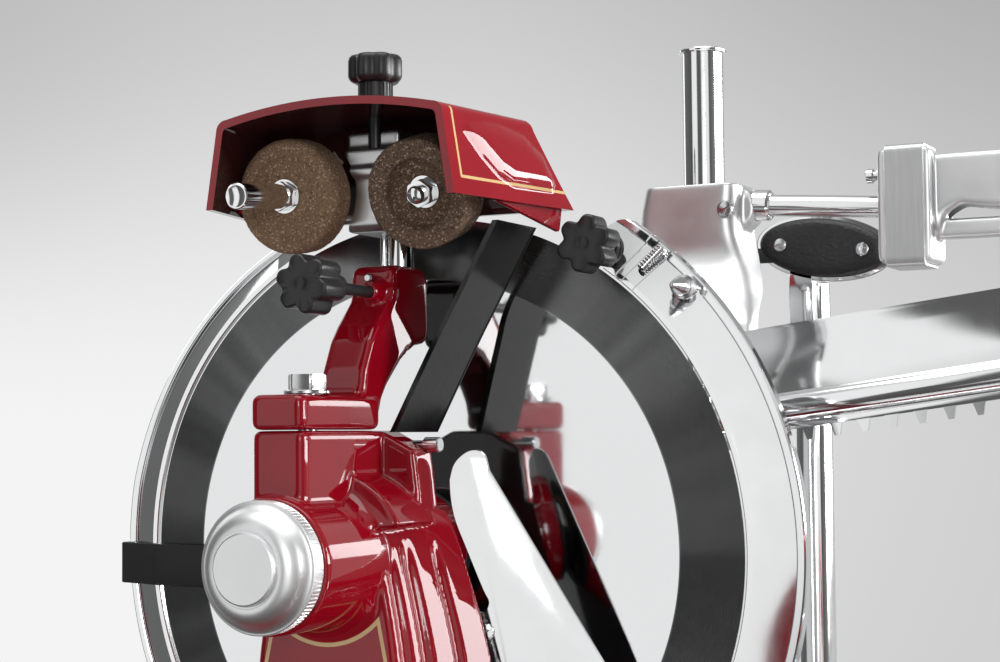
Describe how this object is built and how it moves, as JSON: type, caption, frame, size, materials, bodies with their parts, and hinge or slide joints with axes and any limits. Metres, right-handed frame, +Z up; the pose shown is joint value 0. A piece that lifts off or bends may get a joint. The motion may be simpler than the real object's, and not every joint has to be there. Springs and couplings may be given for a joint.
{
  "type": "hand crank meat slicer",
  "caption": "Hand-cranked flywheel meat slicer with a guarded round knife, stone sharpener, sliding meat table and toothed clamp.",
  "frame": {"origin": "on the ground, below the middle of the bounding box", "axes": "+X along the knife's plane towards the flywheel, +Y from the operator through the knife to the meat, +Z up"},
  "size_m": [0.825, 0.577, 0.5839],
  "materials": {
    "red_enamel": "glossy red enamel",
    "polished_steel": "polished bright",
    "brushed_steel": "brushed",
    "knife_steel": "mirror polished, brushed bevel",
    "cast_aluminium": "satin cast",
    "satin_cap": "satin, knurled",
    "black_plastic": "satin black",
    "black_strap": "black, semi matt",
    "grinding_stone": "coarse grinding stone grain",
    "machined_steel": "turned steel",
    "bronze": "turned bronze",
    "rubber": "black rubber"
  },
  "bodies": {
    "frame": {"knife_bearing_front": "bronze", "knife_bearing_rear": "bronze", "knife_column": "red_enamel", "hub_cap": "satin_cap", "base_casting": "red_enamel", "foot_front_left": "rubber", "foot_front_right": "rubber", "foot_rear_left": "rubber", "foot_rear_right": "rubber", "rail_front": "polished_steel", "rail_rear": "polished_steel", "guard_ring": "polished_steel", "guard_end_plate": "polished_steel", "guard_arm": "black_strap", "guard_stay": "brushed_steel", "guard_pin": "polished_steel", "deflector_plate": "polished_steel", "deflector_arm": "brushed_steel", "deflector_pin": "polished_steel", "sharpener_bracket": "red_enamel", "bracket_bolt": "machined_steel", "guide_rod": "polished_steel", "stop_rod": "polished_steel", "flywheel_pedestal": "red_enamel", "flywheel_bush": "bronze", "slice_tray": "brushed_steel"},
    "flywheel": {"flywheel": "red_enamel", "flywheel_shaft": "polished_steel", "flywheel_gear": "machined_steel", "crank_pin": "polished_steel"},
    "crank_handle": {"crank_handle": "black_plastic"},
    "lay_drive": {"lay_shaft": "machined_steel"},
    "cross_drive": {"cross_shaft": "machined_steel"},
    "column_drive": {"column_shaft": "machined_steel"},
    "knife": {"knife": "knife_steel", "knife_shaft": "machined_steel"},
    "guard_knob": {"guard_knob": "black_plastic"},
    "bracket_knob": {"bracket_knob": "black_plastic"},
    "sharpener": {"sharpener_body": "cast_aluminium", "sharpener_hood": "red_enamel", "spindle_right": "polished_steel"},
    "sharpener_knob": {"sharpener_knob": "black_plastic"},
    "left_spindle": {"spindle_left": "polished_steel"},
    "left_stone": {"stone_left": "grinding_stone"},
    "right_stone": {"stone_right": "grinding_stone"},
    "carriage": {"carriage": "cast_aluminium"},
    "dial": {"thickness_dial": "satin_cap"},
    "feed_screw": {"feed_screw": "polished_steel"},
    "table": {"meat_table": "polished_steel", "post_front": "polished_steel", "post_rear": "polished_steel"},
    "clamp": {"clamp_bracket": "cast_aluminium", "clamp_bar": "polished_steel", "press_plate": "polished_steel", "tooth_strip": "polished_steel"},
    "clamp_block": {"clamp_block": "cast_aluminium", "clamp_strap": "brushed_steel"},
    "plunger": {"plunger_pin": "polished_steel"},
    "lever": {"clamp_lever": "polished_steel", "lever_grip": "black_plastic"}
  },
  "joints": [
    {"name": "flywheel_spin", "type": "hinge", "parent": "frame", "child": "flywheel", "pos_m": [0.2325, -0.1665, 0.2023], "axis": [0, 1, 0], "continuous": true},
    {"name": "handle_spin", "type": "hinge", "parent": "flywheel", "child": "crank_handle", "pos_m": [0.32886, -0.2315, 0.33992], "axis": [0, 1, 0], "continuous": true},
    {"name": "lay_spin", "type": "hinge", "parent": "frame", "child": "lay_drive", "pos_m": [0.2325, -0.0315, 0.1303], "axis": [0, 1, 0], "continuous": true},
    {"name": "cross_spin", "type": "hinge", "parent": "frame", "child": "cross_drive", "pos_m": [0, -0.0805, 0.1303], "axis": [1, 0, 0], "continuous": true},
    {"name": "column_spin", "type": "hinge", "parent": "frame", "child": "column_drive", "pos_m": [-0.2325, -0.0805, 0.2453], "axis": [0, 0, 1], "continuous": true},
    {"name": "knife_spin", "type": "hinge", "parent": "frame", "child": "knife", "pos_m": [-0.2325, -0.0115, 0.3453], "axis": [0, 1, 0], "continuous": true},
    {"name": "guard_knob_turn", "type": "hinge", "parent": "frame", "child": "guard_knob", "pos_m": [-0.1415, -0.0315, 0.4773], "axis": [0, -1, 0], "range_deg": [0, 720]},
    {"name": "bracket_knob_turn", "type": "hinge", "parent": "frame", "child": "bracket_knob", "pos_m": [-0.229, -0.1115, 0.4583], "axis": [0, -1, 0], "range_deg": [0, 720]},
    {"name": "sharpener_lift", "type": "slide", "parent": "frame", "child": "sharpener", "axis": [0, 0, 1], "range_m": [-0.003, 0.018]},
    {"name": "sharpener_knob_turn", "type": "hinge", "parent": "sharpener", "child": "sharpener_knob", "pos_m": [-0.2315, -0.0615, 0.5453], "axis": [0, 0, 1], "range_deg": [0, 720]},
    {"name": "left_stone_push", "type": "slide", "parent": "sharpener", "child": "left_spindle", "axis": [0, 0.9945, 0.1045], "range_m": [0, 0.012]},
    {"name": "left_stone_spin", "type": "hinge", "parent": "left_spindle", "child": "left_stone", "pos_m": [-0.2655, -0.0815, 0.5008], "axis": [0, 0.9945, 0.1045], "continuous": true},
    {"name": "right_stone_spin", "type": "hinge", "parent": "sharpener", "child": "right_stone", "pos_m": [-0.206, -0.0715, 0.4988], "axis": [0, 0.9563, 0.2924], "continuous": true},
    {"name": "carriage_slide", "type": "slide", "parent": "frame", "child": "carriage", "axis": [1, 0, 0], "range_m": [-0.22, 0]},
    {"name": "dial_turn", "type": "hinge", "parent": "carriage", "child": "dial", "pos_m": [0.1675, 0.1385, 0.1853], "axis": [1, 0, 0], "range_deg": [0, 270]},
    {"name": "feed_screw_turn", "type": "hinge", "parent": "carriage", "child": "feed_screw", "pos_m": [-0.0025, 0.1485, 0.1963], "axis": [0, 1, 0], "range_deg": [-541, 3601]},
    {"name": "table_feed", "type": "slide", "parent": "carriage", "child": "table", "axis": [0, 1, 0], "range_m": [-0.018, 0.12]},
    {"name": "clamp_height", "type": "slide", "parent": "table", "child": "clamp", "axis": [0, 0, 1], "range_m": [-0.15, 0.06]},
    {"name": "block_slide", "type": "slide", "parent": "clamp", "child": "clamp_block", "axis": [0.9973, 0, -0.0732], "range_m": [-0.015, 0.01]},
    {"name": "plunger_pull", "type": "slide", "parent": "clamp_block", "child": "plunger", "axis": [-1, 0, 0], "range_m": [0, 0.004]},
    {"name": "lever_swing", "type": "hinge", "parent": "table", "child": "lever", "pos_m": [-0.1205, 0.2095, 0.4613], "axis": [0, 0, 1], "range_deg": [-35, 35]}
  ],
  "couplings": [
    {"joint": "lay_spin", "follows": "flywheel_spin", "ratio": -3},
    {"joint": "cross_spin", "follows": "flywheel_spin", "ratio": -3},
    {"joint": "column_spin", "follows": "flywheel_spin", "ratio": 3},
    {"joint": "knife_spin", "follows": "flywheel_spin", "ratio": -3},
    {"joint": "feed_screw_turn", "follows": "table_feed", "rad_per_m": 523.6}
  ]
}
